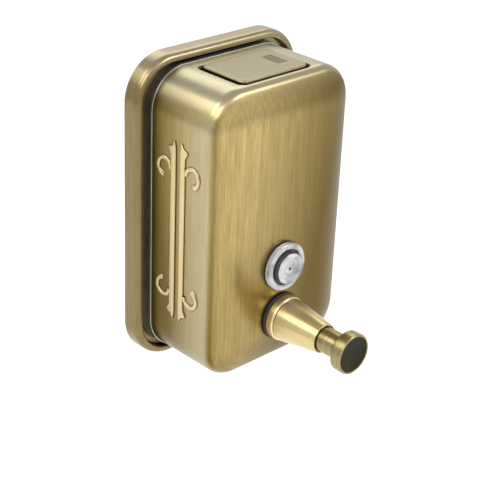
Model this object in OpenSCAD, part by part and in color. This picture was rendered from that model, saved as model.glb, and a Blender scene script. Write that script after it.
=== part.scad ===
// Wall-mounted soap pump dispenser, millimetres.
// The wall is the plane y = 0, the front faces -Y and +Z is up.
// The origin is on the wall, at the middle of the back pan.

/* [Back pan] */
// Width of the back pan
pan_w = 107.5; // [90:0.5:135]
// Height of the back pan
pan_h = 165; // [140:1:210]
// Depth of the pan's rim from the wall
pan_d = 10; // [8:0.5:14]
// Corner radius of the pan
pan_r = 23; // [14:0.5:32]
// Width of the rolled rim
rim_w = 4.2; // [3:0.1:5]
// Thickness of the pressed sheet
sheet = 1; // [0.6:0.1:1.5]

/* [Tank shell] */
// Distance of the front's flat middle from the wall
body_d = 59; // [52:0.2:75]
// How far the front's rounded border falls back from its flat middle
edge_drop = 3.4; // [1.5:0.1:5]
// Free width between the pan's rim and the shell's side
side_gap = 3.4; // [2:0.1:8]
// Free height between the pan's rim and the shell's top
top_gap = 1.55; // [1:0.05:4]
// Corner radius of the shell
body_r = 20; // [12:0.5:26]
// Radius of the front edge
edge_r = 6; // [4:0.1:9]
// Height of the pressed ornament above the side
emboss_h = 0.8; // [0.4:0.1:1.5]

/* [Filling lid] */
// Length of the lid plate across the body
lid_w = 44; // [36:0.5:45]
// Depth of the lid plate from front to back
lid_d = 30.2; // [22:0.2:31]
// How far the lid stands above the shell's top
lid_rise = 1.2; // [0.6:0.1:2]
// Distance of the opening's rear edge from the wall
mouth_y = 18.1; // [15:0.1:22]

/* [Sight window] */
// Height of the window above the pump
window_rise = 28.7; // [27:0.1:60]
// Diameter of the window's flange
window_dia = 25.4; // [22:0.2:27]
// Diameter of the window's neck
window_neck = 17.6; // [14:0.2:18]

/* [Pump] */
// Height of the pump above the tank's bottom
pump_rise = 26.85; // [24:0.05:30]
// Diameter of the rubber gasket behind the collar
gasket_dia = 25; // [24:0.2:28]
// Length of the tapered sleeve's end from the shell's face
sleeve_l = 31.8; // [28:0.2:40]
// Wall between the stem and the outside of the sleeve's small end
tip_wall = 1.3; // [1.2:0.1:2.4]
// Diameter of the stem tube
stem_dia = 13.2; // [12:0.1:16]
// Diameter of the push button
button_dia = 21.4; // [18:0.2:26]
// Thickness of the push button
button_t = 6.5; // [5:0.1:9]
// Travel of the push button
stroke = 12; // [8:0.5:12]
// Bore of the pump barrel
bore_dia = 12; // [10:0.1:14.4]

/* [Wall plate] */
// Width of the wall plate
wall_w = 54; // [46:1:60]
// Height of the wall plate's flat part
wall_h = 48; // [44:1:56]
// Spacing of the screw holes across
hole_sx = 36; // [30:0.5:44]
// Spacing of the screw holes up and down
hole_sz = 32; // [24:0.5:34]
// Diameter of the screw holes
hole_dia = 4.5; // [3.5:0.1:5.5]

/* [Fits] */
// Radial gap of a running fit
run_fit = 0.05; // [0.03:0.01:0.08]
// Gap between pieces that pass each other
free_gap = 0.4; // [0.3:0.05:0.8]
// Radial gap of threads and spigots
thread_gap = 0.1; // [0.05:0.01:0.2]

/* [Hidden] */
$fn = 64;
eps = 0.01;
// Pan
rim_r = rim_w * 0.8;            // outer round of the rolled rim
lip_r = rim_w - rim_r;          // round towards the shell
floor_y = pan_d / 2;            // front of the pan's floor
pan_cx = pan_w / 2 - pan_r;
pan_cz = pan_h / 2 - pan_r;
// Shell
body_w = pan_w - 2 * (rim_w + side_gap);
body_h = pan_h - 2 * (rim_w + top_gap);
body_cx = body_w / 2 - body_r;
body_cz = body_h / 2 - body_r;
top_z = body_h / 2;
side_x = body_w / 2;
band_t = 0.4;                   // seam band
band_l = 7;
border = body_r - edge_r;       // width of the front's rounded border
edge_d = body_d - edge_drop - edge_r;
border_turn = 2 * atan(edge_drop / border);
border_r = border / sin(border_turn) + edge_r;
// Filling opening, its frame and the rocking lid
lid_x = -1.3;                   // middle of the lid plate
mouth_l = lid_w + 4.2;
mouth_x = lid_x - 0.25;
frame_t = 1;
mouth_d = lid_d + 2 * (free_gap + frame_t);
mouth_cy = -(mouth_y + mouth_d / 2);
mouth_r = 4;
frame_end = 0.7;                // thinner wall at the pressed end
frame_low = top_z - 7.75;
frame_top = top_z - 0.35;
lid_top = top_z + lid_rise;
lid_t = 1;
skirt_z = top_z - 0.75;
lid_r = 3.5;
rib_n = 4;                      // pressed finger grooves
rib_pitch = 1.7;
rib_w = 0.8;
rib_l = 12.5;
rib_deep = 0.4;
rib_end = 11.5;                 // first groove from the lid's end
frame_lug = 2.4;                // tabs of the frame under the shell's top
frame_lug_t = 1.5;
pin_x = 8.5;
pin_z = top_z - 2.25;
pin_d = 2.4;
knuckle_r = 2.4;
tray_z = top_z - 1.35;          // underside of the lid's inner tray
ledge_z = tray_z - 0.35;
ledge_w = 3;
// Ornament on the sides
orn_y = -31.3;                  // middle line of the ornament
bar_off = 3.3;
bar_w = 3.6;
bar_l = body_h - 65.5;
hook_z = bar_l / 2 - 11.5;
hook_r = 4.5;
hook_w = 2;
hook_off = 10;
bead = 1;                       // extra width of the round bead on a hook
tip_l = 4;                      // point beyond the bar's end
// Window
window_z = pump_rise + window_rise - body_h / 2;
lens_gap = 0.8;                 // thickness of its outer gasket
ring_w = 3;                     // width and height of the lens's outer ring
ring_h = 2.8;
web_t = 1.2;                    // thin web between the ring and the boss
boss_dia = 16.4;
boss_h = 5.4;
neck_in = 7.6;                  // how far its neck reaches into the tank
washer_t = 1.6;
nut_t = 4;
nut_af = 24;
mark_dia = 6;                   // conical mark in the boss
// Pump
pump_z = pump_rise - body_h / 2;
gasket_t = 1.6;
seat_dia = gasket_dia + 1;      // flat seat pressed in the shell
seat_deep = 3;
inner_t = 1.6;                  // gasket inside the tank
inner_dia = 24;
collar_l = 5;
collar_dia = 24;
sleeve_dia = 23.2;
groove_w = 0.4;
neck_wall = 2.3;
neck_dia = bore_dia + 2 * neck_wall;  // threaded neck of the barrel
neck_l = 12;
rod_dia = 8;
rod_bore = 4.4;
barrel_flange_t = 3;
barrel_flange_dia = 25;
port_dia = 4;                   // soap passages
barrel_l = 38;
barrel_wall = 1.5;
barrel_dia = bore_dia + 2 * barrel_wall;
seal_l = 4;
sleeve_tip = stem_dia + 2 * tip_wall;
bush_in = sleeve_l - 9.2;
bush_out = sleeve_l - 1.5;
bush_wall = 0.55;
bush_dia = stem_dia + 2 * (run_fit + bush_wall);
tip_bore = stem_dia + 2 * free_gap;
stem_in = neck_l + stroke + 0.6;
button_in = sleeve_l + stroke + 1.3;
button_out = button_in + button_t;
rod_socket = 2;
nozzle_w = 3.4;                 // place of the nozzle from the button's back
piston_front = -6;
piston_l = 8;
piston_back = piston_front - piston_l;
seal_groove = 2.4;
// Non-return valves
inlet_ball_d = 5;
inlet_seat_d = 4;
valve_w = -43;                  // place of the upright valve along the pump
valve_od = 10;
valve_bore = 6;
valve_top = 6;
seat_drop = 8;
socket_drop = 14;
tube_od = 6;
tube_id = 4;
outlet_ball_d = 3.4;
outlet_seat_d = 2.4;
// Wall plate and hanger
wall_t = 1.2;
tongue_t = 1;
tongue_y = 2.2;
tongue_top = wall_h / 2 + 14;
hanger_t = 1;
lip_y = 0.8;
hanger_w = 40;
tongue_in = 5;                  // tongue's ends from the plate's ends
hanger_tab = 9;
hanger_low = wall_h / 2 + 3;

// Colours
brass = [0.66, 0.56, 0.34];
steel = [0.72, 0.73, 0.74];
black = [0.07, 0.07, 0.08];
white = [0.9, 0.9, 0.88];
clear = [0.85, 0.9, 0.92, 0.5];

// Names of the parts
// Part to draw

// ---- helpers -------------------------------------------------------------

// A ring of wall swept round a rounded rectangle: child x is outwards, child y is forwards.
// half_x and half_z reach from the middle to the corner centres.
module around(half_x, half_z) {
  for (side = [0, 1]) mirror([side, 0, 0]) {
    translate([half_x, 0, half_z]) rotate([180, 0, 0]) linear_extrude(2 * half_z) children();
    for (low = [0, 1]) mirror([0, 0, low])
      translate([half_x, 0, half_z]) rotate([90, 0, 0]) rotate_extrude(angle = 90) children();
  }
  for (low = [0, 1]) mirror([0, 0, low])
    translate([-half_x, 0, half_z]) rotate([0, -90, 0]) rotate([180, 0, 0])
      linear_extrude(2 * half_x) children();
}

// Quarter-rounded rectangle from x = 0 to r, y from low to high, its far corner rounded by f.
module rounded_end(r, low, high, f) {
  square_from(0, low, r, high - f);
  square_from(0, low, r - f, high);
  translate([r - f, high - f]) circle(f);
}

module square_from(x0, y0, x1, y1) {
  translate([x0, y0]) square([x1 - x0, y1 - y0]);
}

// Box between two opposite corners.
module box_from(a, b) {
  translate(a) cube(b - a);
}

// Plate lying in XY with upright rounded corners, centred, from z = 0 to t.
module round_plate(w, d, t, r) {
  translate([-w / 2 + r, -d / 2, 0]) cube([w - 2 * r, d, t]);
  translate([-w / 2, -d / 2 + r, 0]) cube([w, d - 2 * r, t]);
  for (sx = [-1, 1]) for (sy = [-1, 1])
    translate([sx * (w / 2 - r), sy * (d / 2 - r), 0]) cylinder(r = r, h = t);
}

// Axis pointing forwards out of the shell's face at height z: child z is the distance forwards.
module face_axis(z) {
  translate([0, -body_d, z]) rotate([90, 0, 0]) children();
}

// Ring or tube along child z, from a to b.
module tube(do, di, a, b) {
  translate([0, 0, a]) difference() {
    cylinder(d = do, h = b - a);
    translate([0, 0, -1]) cylinder(d = di, h = b - a + 2);
  }
}

// ---- wall side -----------------------------------------------------------

module wall_plate() color(steel) difference() {
  union() {
    box_from([-wall_w / 2, -wall_t, -wall_h / 2], [wall_w / 2, 0, wall_h / 2]);
    box_from([-wall_w / 2 + tongue_in, -tongue_y - tongue_t, wall_h / 2 - wall_t],
      [wall_w / 2 - tongue_in, 0, wall_h / 2]);
    box_from([-wall_w / 2 + tongue_in, -tongue_y - tongue_t, wall_h / 2 - wall_t],
      [wall_w / 2 - tongue_in, -tongue_y, tongue_top]);
  }
  for (sx = [-1, 1]) for (sz = [-1, 1])
    translate([sx * hole_sx / 2, 1, sz * hole_sz / 2]) rotate([90, 0, 0])
      cylinder(d = hole_dia, h = wall_t + 2);
}

module hanger() color(steel) {
  web = tongue_top + free_gap;
  box_from([-hanger_w / 2, -lip_y - hanger_t, hanger_low],
    [hanger_w / 2, -lip_y, web + hanger_t]);
  box_from([-hanger_w / 2, -floor_y + sheet, web],
    [hanger_w / 2, -lip_y, web + hanger_t]);
  box_from([-hanger_w / 2, -floor_y + sheet, web],
    [hanger_w / 2, -floor_y + sheet + hanger_t, web + hanger_tab]);
}

// Wall of the pan: a pressed floor that rises into a rolled rim, open behind.
module pan_profile() difference() {
  rounded_end(pan_r, 0, pan_d, rim_r);
  // groove between the rim and the shell
  square_from(-eps, floor_y, pan_r - rim_w, pan_d + 1);
  // round on the shell's side of the rim
  difference() {
    square_from(pan_r - rim_w - eps, pan_d - lip_r, pan_r - rim_r, pan_d + 1);
    translate([pan_r - rim_r, pan_d - lip_r]) circle(lip_r);
  }
  // hollow behind the floor
  square_from(-eps, -1, pan_r - rim_w + sheet, floor_y - sheet);
  // hollow inside the rolled rim
  intersection() {
    square_from(pan_r - rim_w + sheet, -1, pan_r, pan_d);
    rounded_end(pan_r - sheet, -1, pan_d - sheet, rim_r - sheet);
  }
}

module back_pan() color(brass) {
  around(pan_cx, pan_cz) pan_profile();
  box_from([-pan_cx, -floor_y, -pan_cz], [pan_cx, -floor_y + sheet, pan_cz]);
}

// ---- tank ----------------------------------------------------------------

// Half section of the tank's outline, from its flat middle out to its side, moved in by inset.
// The border falls away on a wide arc that runs smoothly into the front edge's small arc.
module tank_section(inset, low) {
  square_from(0, low, body_r - inset, edge_d);
  translate([border, edge_d]) circle(edge_r - inset);
  translate([0, body_d - border_r]) intersection() {
    circle(border_r - inset);
    polygon([[0, 0], [2 * border_r * sin(border_turn), 2 * border_r * cos(border_turn)],
      [0, 2 * border_r]]);
  }
}

module shell_profile() difference() {
  tank_section(0, floor_y);
  tank_section(sheet, floor_y - 1);
  translate([-body_r, 0]) square([body_r, body_d + 1]);
}

// One bar of the ornament: a point near its inner side at both ends, and a barb that swells
// outwards beside the point.
module ornament_bar() {
  h = bar_l / 2;
  w = bar_w / 2;
  half = [[w, h - tip_l], [w + 0.4, h - 3], [w + 2, h], [w * 0.3, h + 1.5], [-w * 0.5, h + tip_l],
    [-w, h]];
  for (low = [0, 1]) mirror([0, low, 0])
    linear_extrude(emboss_h + sheet / 2) polygon(concat([[-w, -eps], [w, -eps]], half));
}

// One hook: a three-quarter ring with a round bead at its free end.
module ornament_hook() {
  t = emboss_h + sheet / 2;
  rotate([0, 0, -70]) rotate_extrude(angle = 250)
    translate([hook_r - hook_w / 2, 0]) square([hook_w, t]);
  rotate([0, 0, -70]) translate([hook_r, 0, 0]) cylinder(d = hook_w + bead, h = t);
}

// The pattern on one side, standing out of the shell's side along +X.
// Child x runs along the depth and child y runs up.
module ornament() translate([side_x - sheet / 2, orn_y, 0]) rotate([90, 0, 90])
  for (front = [0, 1]) mirror([front, 0, 0]) {
    translate([bar_off, 0, 0]) ornament_bar();
    for (low = [0, 1]) mirror([0, low, 0])
      translate([hook_off, hook_z, 0]) ornament_hook();
  }

module front_shell() color(brass) difference() {
  union() {
    around(body_cx, body_cz) shell_profile();
    box_from([-body_cx, -body_d, -body_cz], [body_cx, -body_d + sheet, body_cz]);
    for (side = [0, 1]) mirror([side, 0, 0]) ornament();
    face_axis(pump_z) translate([0, 0, -sheet]) cylinder(d = seat_dia, h = sheet);
  }
  face_axis(pump_z) translate([0, 0, -sheet - seat_deep]) cylinder(d = seat_dia, h = seat_deep);
  face_axis(window_z) translate([0, 0, -2]) cylinder(d = window_neck, h = 4);
  face_axis(pump_z) translate([0, 0, -2]) cylinder(d = neck_dia, h = 4);
  translate([mouth_x, mouth_cy, top_z - 3]) round_plate(mouth_l, mouth_d, 6, mouth_r);
}

module seam_band() color(steel)
  around(body_cx, body_cz) difference() {
    rounded_end(body_r + band_t, floor_y, floor_y + band_l, band_t * 0.8);
    square_from(-eps, 0, body_r, body_d);
  }

// ---- filling lid ---------------------------------------------------------

// Room inside the frame from height low upwards, its free end stepped in by ledge.
module frame_well(ledge, low)
  translate([mouth_x + (frame_t + ledge - frame_end) / 2, mouth_cy, low])
    round_plate(mouth_l - frame_t - ledge - frame_end, mouth_d - 2 * frame_t,
      frame_top + 1 - low, mouth_r - frame_t);

module lid_frame() color(black) difference() {
  union() {
    translate([mouth_x, mouth_cy, frame_low])
      round_plate(mouth_l, mouth_d, frame_top - frame_low, mouth_r);
    box_from([mouth_x - mouth_l / 2 - frame_lug, mouth_cy - mouth_d / 2 + frame_lug,
        top_z - sheet - frame_lug_t],
      [mouth_x + mouth_l / 2 + frame_lug, mouth_cy + mouth_d / 2 - frame_lug, top_z - sheet]);
  }
  // well for the lid, and the mouth below the ledge that carries its free end
  frame_well(0, ledge_z);
  frame_well(ledge_w, frame_low - 1);
  translate([pin_x, mouth_cy + mouth_d, pin_z]) rotate([90, 0, 0])
    cylinder(d = pin_d, h = 2 * mouth_d);
}

module lid_cover() color(brass) difference() {
  translate([lid_x, mouth_cy, skirt_z]) round_plate(lid_w, lid_d, lid_top - skirt_z, lid_r);
  translate([lid_x, mouth_cy, skirt_z - 1])
    round_plate(lid_w - 2 * lid_t, lid_d - 2 * lid_t, lid_top - lid_t - skirt_z + 1,
      lid_r - lid_t);
  // pressed finger grooves
  for (i = [0 : rib_n - 1]) translate([lid_x + lid_w / 2 - rib_end + i * rib_pitch, mouth_cy, lid_top])
    box_from([-rib_w / 2, -rib_l / 2, -rib_deep], [rib_w / 2, rib_l / 2, 1]);
}

module lid_tray() color(black) difference() {
  union() {
    translate([lid_x, mouth_cy, tray_z])
      round_plate(lid_w - 2 * lid_t, lid_d - 2 * lid_t, lid_top - lid_t - tray_z,
        lid_r - lid_t);
    translate([pin_x, mouth_cy + lid_d / 2 - lid_t, pin_z]) rotate([90, 0, 0])
      cylinder(r = knuckle_r, h = lid_d - 2 * lid_t);
  }
  translate([pin_x, mouth_cy + mouth_d, pin_z]) rotate([90, 0, 0])
    cylinder(d = pin_d + 2 * run_fit, h = 2 * mouth_d);
}

module lid_pin() color(steel)
  translate([pin_x, mouth_cy + mouth_d / 2 - 0.2, pin_z]) rotate([90, 0, 0])
    cylinder(d = pin_d, h = mouth_d - 0.4);

// ---- sight window --------------------------------------------------------

module window_lens() color(clear) face_axis(window_z) difference() {
  union() {
    tube(window_dia, window_dia - 2 * ring_w, lens_gap, lens_gap + ring_h);
    translate([0, 0, lens_gap]) cylinder(d = window_dia - 2, h = web_t);
    translate([0, 0, lens_gap]) cylinder(d1 = boss_dia + 0.6, d2 = boss_dia, h = boss_h);
    translate([0, 0, -neck_in]) cylinder(d = window_neck - 2 * thread_gap, h = neck_in + lens_gap);
  }
  // hollow behind the boss, so that the soap shows
  translate([0, 0, -neck_in - 1]) cylinder(d = window_neck - 5, h = neck_in + 1 + lens_gap);
  // mark in the middle of the boss
  translate([0, 0, lens_gap + boss_h - 1]) cylinder(d1 = 0, d2 = mark_dia, h = 1);
}

module window_gasket() color(white) face_axis(window_z)
  tube(window_dia - 1.6, window_neck, 0, lens_gap);

module window_washer() color(black) face_axis(window_z)
  tube(window_dia - 1, window_neck, -sheet - washer_t, -sheet);

module window_nut() color(white) face_axis(window_z)
  translate([0, 0, -sheet - washer_t - nut_t]) difference() {
    cylinder(d = nut_af / cos(30), h = nut_t, $fn = 6);
    translate([0, 0, -1]) cylinder(d = window_neck, h = nut_t + 2);
  }

// ---- pump, fixed pieces --------------------------------------------------

module pump_gasket() color(black) face_axis(pump_z)
  tube(gasket_dia, neck_dia, 0, gasket_t);

module pump_collar() color(brass) face_axis(pump_z)
  tube(collar_dia, neck_dia + 2 * thread_gap, gasket_t, gasket_t + collar_l);

module pump_sleeve() color(brass) face_axis(pump_z) difference() {
  a = gasket_t + collar_l;
  union() {
    translate([0, 0, a]) cylinder(d = sleeve_dia - 1, h = groove_w + eps);
    translate([0, 0, a + groove_w])
      cylinder(d1 = sleeve_dia, d2 = sleeve_tip, h = sleeve_l - a - groove_w);
  }
  translate([0, 0, a - 1]) cylinder(d = neck_dia + 2 * thread_gap, h = neck_l + 2 - a);
  translate([0, 0, a]) cylinder(d = bush_dia, h = bush_out - a);
  translate([0, 0, a]) cylinder(d = tip_bore, h = sleeve_l);
}

module guide_bush() color(white) face_axis(pump_z)
  tube(bush_dia, stem_dia + 2 * run_fit, bush_in, bush_out);

module pump_barrel() color(white) face_axis(pump_z) difference() {
  union() {
    translate([0, 0, -sheet - inner_t - barrel_flange_t])
      cylinder(d = barrel_flange_dia, h = barrel_flange_t);
    translate([0, 0, -barrel_l])
      cylinder(d = barrel_dia, h = barrel_l - sheet - inner_t);
    translate([0, 0, -sheet - inner_t - eps])
      cylinder(d = neck_dia - 2 * thread_gap, h = neck_l + sheet + inner_t + eps);
  }
  translate([0, 0, -barrel_l - 1])
    cylinder(d = bore_dia, h = barrel_l + 1 + piston_front + 0.3);
  translate([0, 0, -barrel_l]) cylinder(d = rod_dia + 2 * free_gap, h = barrel_l + neck_l + 1);
  translate([0, 0, neck_l - seal_l]) cylinder(d = bore_dia, h = seal_l + 1);
}

module inner_gasket() color(black) face_axis(pump_z)
  tube(inner_dia, neck_dia, -sheet - inner_t, -sheet);

module rod_seal() color(black) face_axis(pump_z)
  tube(bore_dia, rod_dia + 2 * run_fit, neck_l - seal_l, neck_l);

module inlet_elbow() color(white) face_axis(pump_z) difference() {
  union() {
    translate([0, 0, -barrel_l - 3]) cylinder(d = barrel_dia + 3, h = 9);
    translate([0, valve_top, valve_w]) rotate([90, 0, 0])
      cylinder(d = valve_od, h = valve_top + socket_drop);
  }
  translate([0, 0, -barrel_l]) cylinder(d = barrel_dia, h = 10);
  translate([0, 0, valve_w]) cylinder(d = port_dia, h = 10);
  translate([0, valve_top - 2, valve_w]) rotate([90, 0, 0])
    cylinder(d = valve_bore, h = valve_top - 2 + seat_drop);
  translate([0, -seat_drop + 1, valve_w]) rotate([90, 0, 0])
    cylinder(d = inlet_seat_d, h = 4);
  translate([0, -seat_drop - 2, valve_w]) rotate([90, 0, 0])
    cylinder(d = tube_od, h = socket_drop);
}

module dip_tube() color(white) face_axis(pump_z)
  translate([0, -seat_drop - 2, valve_w]) rotate([90, 0, 0])
    tube(tube_od, tube_id, 0, pump_rise - sheet - 1.2 - seat_drop - 2);

// ---- pump, moving pieces -------------------------------------------------

module stem_tube() color(brass) face_axis(pump_z)
  tube(stem_dia, rod_dia + 2 * thread_gap, stem_in, button_in);

module plunger_rod() color(white) face_axis(pump_z) difference() {
  translate([0, 0, piston_back + 2])
    cylinder(d = rod_dia, h = button_in + rod_socket - piston_back - 2);
  translate([0, 0, piston_back]) cylinder(d = rod_bore, h = button_in + 10 - piston_back);
}

module push_button() color(brass) face_axis(pump_z) difference() {
  union() {
    translate([0, 0, button_in]) cylinder(d1 = button_dia - 1.2, d2 = button_dia, h = 0.6);
    translate([0, 0, button_in + 0.6]) cylinder(d = button_dia, h = button_t - 1.4);
    translate([0, 0, button_out - 0.8])
      cylinder(d1 = button_dia, d2 = button_dia - 1.6, h = 0.8);
  }
  // shallow dish in the pressed face
  translate([0, 0, button_out - 0.3]) cylinder(d = button_dia - 4, h = 1);
  // socket for the rod and the passage down to the nozzle
  translate([0, 0, button_in - 1]) cylinder(d = rod_dia, h = 1 + rod_socket);
  translate([0, 0, button_in + nozzle_w]) rotate([90, 0, 0]) cylinder(d = port_dia, h = button_dia);
}

module outlet_nozzle() color(steel) face_axis(pump_z)
  translate([0, -rod_dia / 2 - 0.2, button_in + nozzle_w]) rotate([90, 0, 0])
    tube(port_dia, 2.6, 0, (button_dia - rod_dia) / 2 + 0.7);

module piston() color(white) face_axis(pump_z) difference() {
  translate([0, 0, piston_back]) cylinder(d = bore_dia - 2 * run_fit, h = piston_l);
  translate([0, 0, piston_back - 1]) cylinder(d = rod_bore, h = 5);
  translate([0, 0, piston_back + 2]) cylinder(d = rod_dia, h = piston_l);
  // groove for the cup seal
  tube(bore_dia + 2, bore_dia - 3, piston_front - 3 - seal_groove, piston_front - 3);
}

module piston_seal() color(black) face_axis(pump_z)
  tube(bore_dia - 2 * run_fit, bore_dia - 3, piston_front - 3 - seal_groove, piston_front - 3);

// Valve seat pressed into the rod's rear end
module outlet_seat() color(white) face_axis(pump_z)
  tube(rod_bore, outlet_seat_d, piston_back, piston_back + 3);

module outlet_ball() color(steel) face_axis(pump_z)
  translate([0, 0, piston_back + 3 + outlet_ball_d * 0.5]) sphere(d = outlet_ball_d);

module inlet_ball() color(steel) face_axis(pump_z)
  translate([0, -seat_drop + 2, valve_w]) sphere(d = inlet_ball_d);

// Coil spring between the barrel's end and the piston
module return_spring() color(steel) face_axis(pump_z) {
  turns = 7;
  steps = 16;
  wire = 1;
  mid_r = bore_dia / 2 - 1.1;
  low = -barrel_l + wire / 2 + 0.1;
  rise = piston_back + barrel_l - wire - 0.2;
  for (i = [0 : turns * steps - 1])
    hull() for (k = [i, i + 1])
      rotate([0, 0, k * 360 / steps])
        translate([mid_r, 0, low + rise * k / (turns * steps)])
          rotate([90, 0, 0]) cylinder(d = wire, h = 0.02, center = true, $fn = 6);
}

wall_plate();
hanger();
back_pan();
front_shell();
seam_band();
lid_frame();
lid_cover();
lid_tray();
lid_pin();
window_lens();
window_gasket();
window_washer();
window_nut();
pump_gasket();
pump_collar();
pump_sleeve();
guide_bush();
pump_barrel();
inner_gasket();
rod_seal();
stem_tube();
plunger_rod();
push_button();
outlet_nozzle();
piston();
piston_seal();
return_spring();
outlet_ball();
outlet_seat();
inlet_elbow();
inlet_ball();
dip_tube();
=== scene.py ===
import math

import bmesh
import bpy
from mathutils import Matrix, Vector


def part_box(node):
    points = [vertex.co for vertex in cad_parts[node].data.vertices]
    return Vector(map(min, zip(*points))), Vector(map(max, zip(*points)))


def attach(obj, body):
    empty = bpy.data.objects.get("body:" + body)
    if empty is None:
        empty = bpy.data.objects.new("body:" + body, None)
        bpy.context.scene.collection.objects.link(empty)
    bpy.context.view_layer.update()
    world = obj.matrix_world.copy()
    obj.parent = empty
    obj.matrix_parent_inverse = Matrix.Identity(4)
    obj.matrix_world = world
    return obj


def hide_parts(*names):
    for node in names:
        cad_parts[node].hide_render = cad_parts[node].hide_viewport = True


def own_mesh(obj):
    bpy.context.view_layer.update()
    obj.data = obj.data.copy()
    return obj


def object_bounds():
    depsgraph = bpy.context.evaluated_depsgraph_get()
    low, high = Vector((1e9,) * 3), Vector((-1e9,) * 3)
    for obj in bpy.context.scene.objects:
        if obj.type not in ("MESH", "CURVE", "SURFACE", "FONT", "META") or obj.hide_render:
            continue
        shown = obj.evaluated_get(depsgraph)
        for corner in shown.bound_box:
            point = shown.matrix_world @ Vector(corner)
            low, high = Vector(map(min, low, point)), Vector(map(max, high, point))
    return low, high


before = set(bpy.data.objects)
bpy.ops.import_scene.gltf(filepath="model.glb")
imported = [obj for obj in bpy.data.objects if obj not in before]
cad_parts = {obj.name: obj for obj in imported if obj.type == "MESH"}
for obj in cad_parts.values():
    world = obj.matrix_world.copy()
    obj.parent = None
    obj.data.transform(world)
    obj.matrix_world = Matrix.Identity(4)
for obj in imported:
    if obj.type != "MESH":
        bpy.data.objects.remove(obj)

cad_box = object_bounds()

MM = 0.001
ON_AXIS = 1e-7                  # a smaller radius counts as none
SMOOTH_ANGLE = 35               # edges sharper than this many degrees stay sharp


# ---- places and sizes read from the frame, in metres ------------------------

def span(node, axis):
    """Lowest and highest coordinate of a CAD node along X, Y or Z."""
    low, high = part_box(node)
    return low["XYZ".index(axis)], high["XYZ".index(axis)]


def middle(node, axis):
    low, high = span(node, axis)
    return (low + high) / 2


# Radii and walls, which a box can't tell, are the CAD's values where no note says otherwise.
SHEET = 1.0 * MM
PAN_X = span("back_pan", "X")[1]
PAN_Z = span("back_pan", "Z")[1]
PAN_DEPTH = -span("back_pan", "Y")[0]
PAN_R = 23 * MM
RIM_W = 4.2 * MM
BODY_D = -span("front_shell", "Y")[0]
BODY_Z = span("front_shell", "Z")[1]
EMBOSS = 0.8 * MM
BODY_X = span("front_shell", "X")[1] - EMBOSS
BODY_R = 20 * MM
EDGE_R = 6 * MM
EDGE_DROP = 3.4 * MM
BORDER = BODY_R - EDGE_R
BORDER_TURN = 2 * math.atan(EDGE_DROP / BORDER)
BORDER_R = BORDER / math.sin(BORDER_TURN) + EDGE_R
FLOOR_DEPTH = -span("front_shell", "Y")[1]
FRAME_LUG = 2.4 * MM            # how far the lid frame's tabs reach under the sheet
BAND_T = 0.4 * MM
LID_SHEET = 0.8 * MM            # 1 mm in the CAD
WINDOW_HOLE, PUMP_HOLE = 8.8, 8.3   # radii in millimetres
WINDOW_Z = middle("window_lens", "Z")
PUMP_Z = middle("pump_gasket", "Z")


def radius_of(node):
    """Outer radius of a CAD node that is turned on an axis square to the wall."""
    low, high = span(node, "X")
    return (high - low) / 2 / MM


def reach(node):
    """How far a CAD node starts and ends in front of the shell's face, in millimetres."""
    low, high = span(node, "Y")
    return (-high - BODY_D) / MM, (-low - BODY_D) / MM


# ---- mesh building ----------------------------------------------------------

def new_object(name, mesh):
    obj = bpy.data.objects.new(name, mesh)
    bpy.context.scene.collection.objects.link(obj)
    return obj


def from_bmesh(name, bm, smooth_angle=SMOOTH_ANGLE):
    bmesh.ops.remove_doubles(bm, verts=bm.verts, dist=1e-6)
    bmesh.ops.recalc_face_normals(bm, faces=bm.faces)
    mesh = bpy.data.meshes.new(name)
    bm.to_mesh(mesh)
    bm.free()
    mesh.shade_smooth()
    mesh.set_sharp_from_angle(angle=math.radians(smooth_angle))
    return new_object(name, mesh)


def arc(centre, radius, start, end, steps):
    """Points on an arc in a profile plane, angles in degrees."""
    angles = [math.radians(start + (end - start) * i / steps) for i in range(steps + 1)]
    return [(centre[0] + radius * math.cos(a), centre[1] + radius * math.sin(a)) for a in angles]


def soften(points, radius, steps=4):
    """An open profile with its inner corners rounded by one radius."""
    out = [points[0]]
    for before, here, after in zip(points, points[1:], points[2:]):
        a, p, b = Vector(before), Vector(here), Vector(after)
        to_a, to_b = a - p, b - p
        cut = min(radius, to_a.length * 0.45, to_b.length * 0.45)
        first, last = p + to_a.normalized() * cut, p + to_b.normalized() * cut
        for i in range(steps + 1):
            t = i / steps
            q = first * (1 - t) ** 2 + p * 2 * t * (1 - t) + last * t ** 2
            out.append((q.x, q.y))
    out.append(points[-1])
    return out


def stations(half_x, half_z, steps):
    """Corner centre and outward direction at each place round a rounded rectangle."""
    out = []
    for k, (sx, sz) in enumerate(((1, 1), (-1, 1), (-1, -1), (1, -1))):
        for i in range(steps + 1):
            a = math.radians(90 * (k + i / steps))
            out.append(((sx * half_x, sz * half_z), (math.cos(a), math.sin(a))))
    return out


def on_wall(p, q, h):
    """Plan X-Z, height forwards from the wall."""
    return Vector((p, -h, q))


def on_top(p, q, h):
    """Plan X-Y, height upwards."""
    return Vector((p, q, h))


def skin(bm, rings, closed, looped=False):
    """Quads between neighbouring rings; a ring may be closed, and so may the row of rings."""
    for ring, after in zip(rings, rings[1:] + (rings[:1] if looped else [])):
        count = len(ring)
        for j in range(count if closed else count - 1):
            k = (j + 1) % count
            bm.faces.new((ring[j], ring[k], after[k], after[j]))


def swept(name, half, profile, place, centre=(0, 0), steps=20, closed=False, cap=False, **options):
    """A profile of (outwards, height) points swept round a rounded rectangle."""
    bm = bmesh.new()
    rings = []
    for (cx, cz), (dx, dz) in stations(half[0], half[1], steps):
        rings.append([
            bm.verts.new(place(centre[0] + cx + dx * u, centre[1] + cz + dz * u, h))
            for u, h in profile
        ])
    skin(bm, rings, closed, looped=True)
    if cap:
        bm.faces.new([ring[-1] for ring in rings])
    return from_bmesh(name, bm, **options)


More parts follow.
